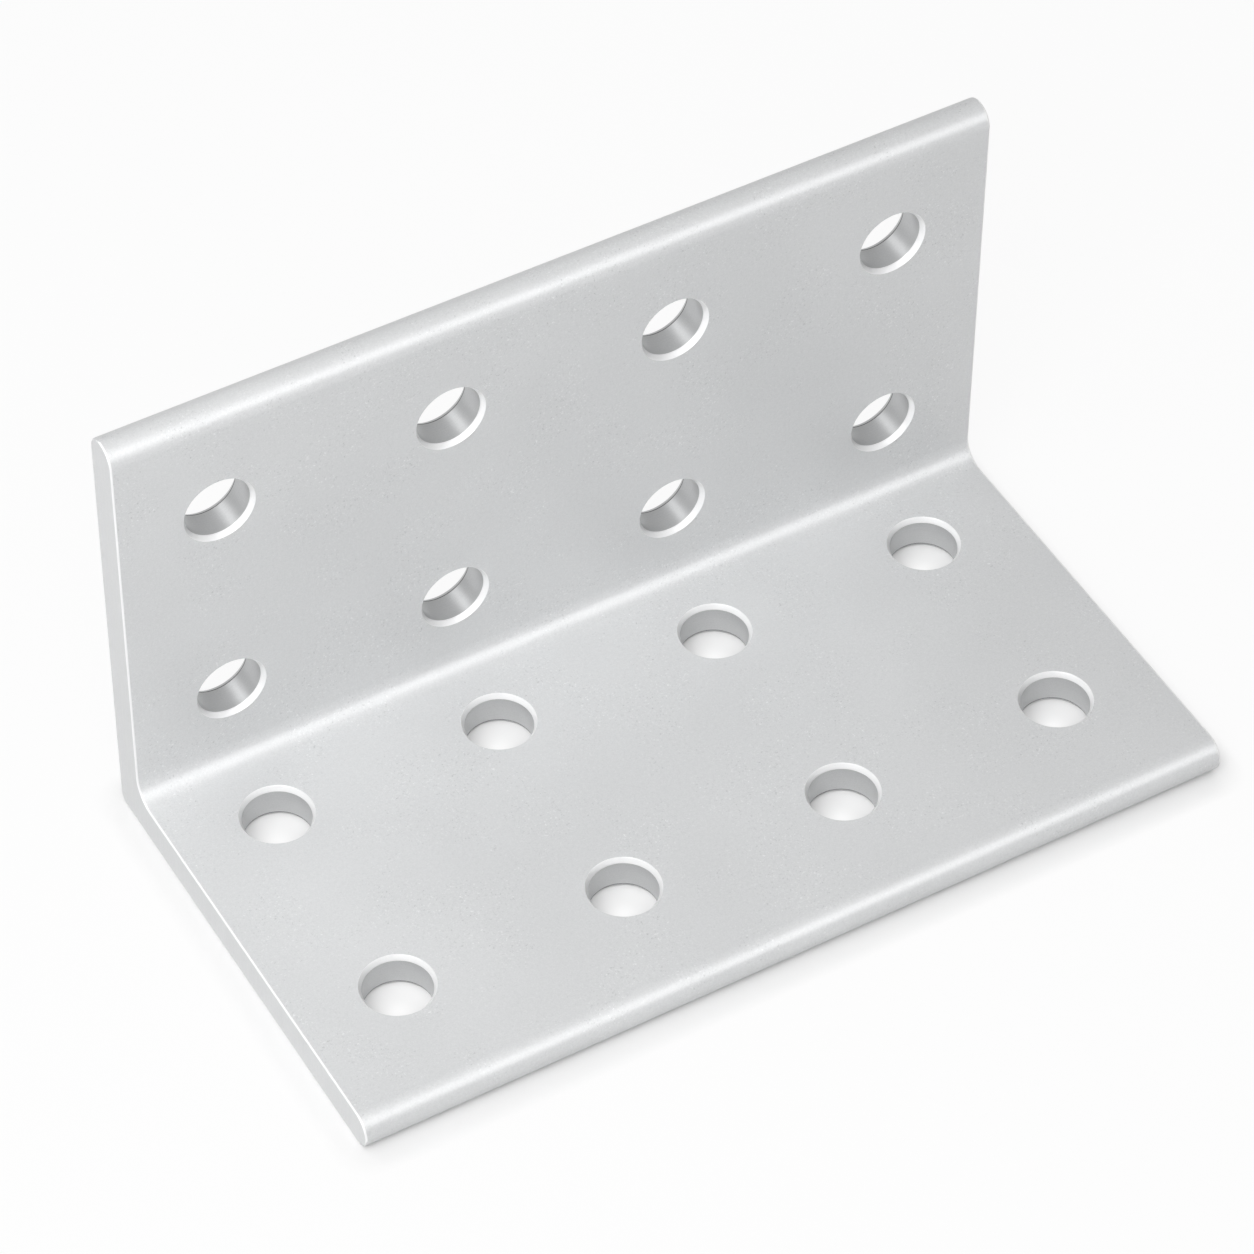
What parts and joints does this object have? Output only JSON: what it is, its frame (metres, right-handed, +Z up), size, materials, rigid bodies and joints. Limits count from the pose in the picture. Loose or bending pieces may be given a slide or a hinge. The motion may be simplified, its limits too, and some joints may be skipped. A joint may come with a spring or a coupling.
{
  "type": "angle bracket",
  "caption": "Equal-leg angle bracket in satin aluminium, with a grid of bevelled bolt holes in each leg, fully rounded toes and a filleted inside corner.",
  "frame": {"origin": "on the outer face of the base, under the middle of the bounding box", "axes": "+X along the bracket's length, +Y towards the outer face of the upright leg, +Z up from the base's outer face"},
  "size_m": [0.116, 0.062, 0.062],
  "materials": {
    "satin_aluminium": "satin, finely blasted and clear anodised"
  },
  "bodies": {
    "root": {"bracket": "satin_aluminium"}
  },
  "joints": []
}
